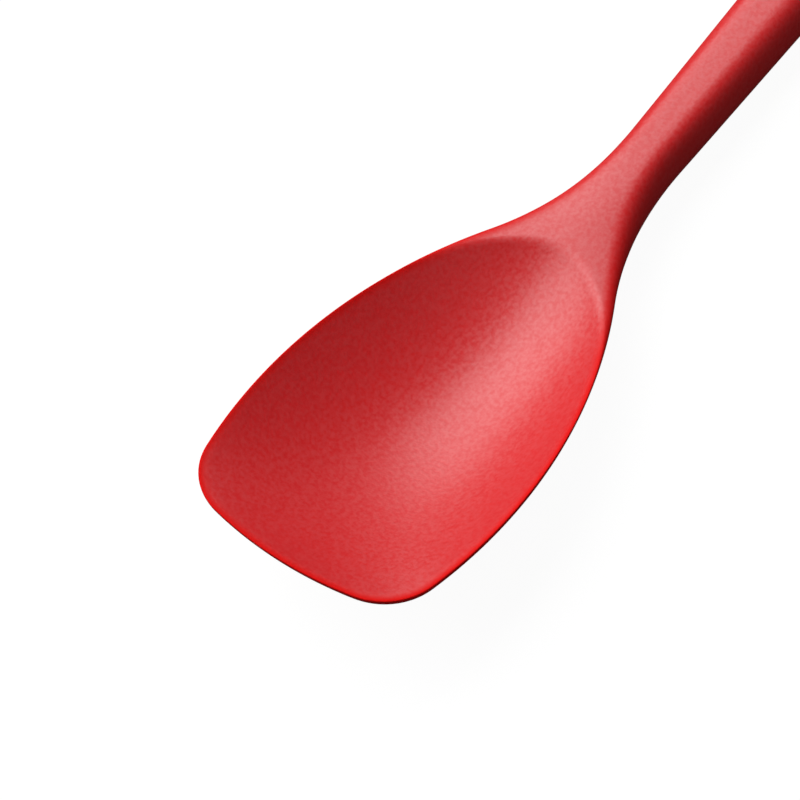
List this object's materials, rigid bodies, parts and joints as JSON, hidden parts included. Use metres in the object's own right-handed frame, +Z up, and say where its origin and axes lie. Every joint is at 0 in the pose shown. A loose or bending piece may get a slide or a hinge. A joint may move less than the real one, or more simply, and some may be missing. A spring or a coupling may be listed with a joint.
{
  "type": "silicone turner",
  "caption": "Silicone turner with a scooped, spoon-shaped head, a nearly straight front edge and a slim rounded handle with a hanging hole.",
  "frame": {"origin": "centre of the bounding box in plan, on the plane the turner rests on", "axes": "+X from the head along the handle to its end, +Y across the head, +Z up out of the bowl"},
  "size_m": [0.285, 0.064, 0.0267],
  "materials": {
    "red_silicone": "satin, fine grain",
    "brushed_stainless": "brushed",
    "glass_filled_nylon": "matte",
    "rivet_steel": "plain"
  },
  "bodies": {
    "root": {"silicone_overmould": "red_silicone", "steel_spine": "brushed_stainless", "upper_core_half": "glass_filled_nylon", "lower_core_half": "glass_filled_nylon", "neck_rivet": "rivet_steel", "middle_rivet": "rivet_steel", "tail_rivet": "rivet_steel"}
  },
  "joints": []
}
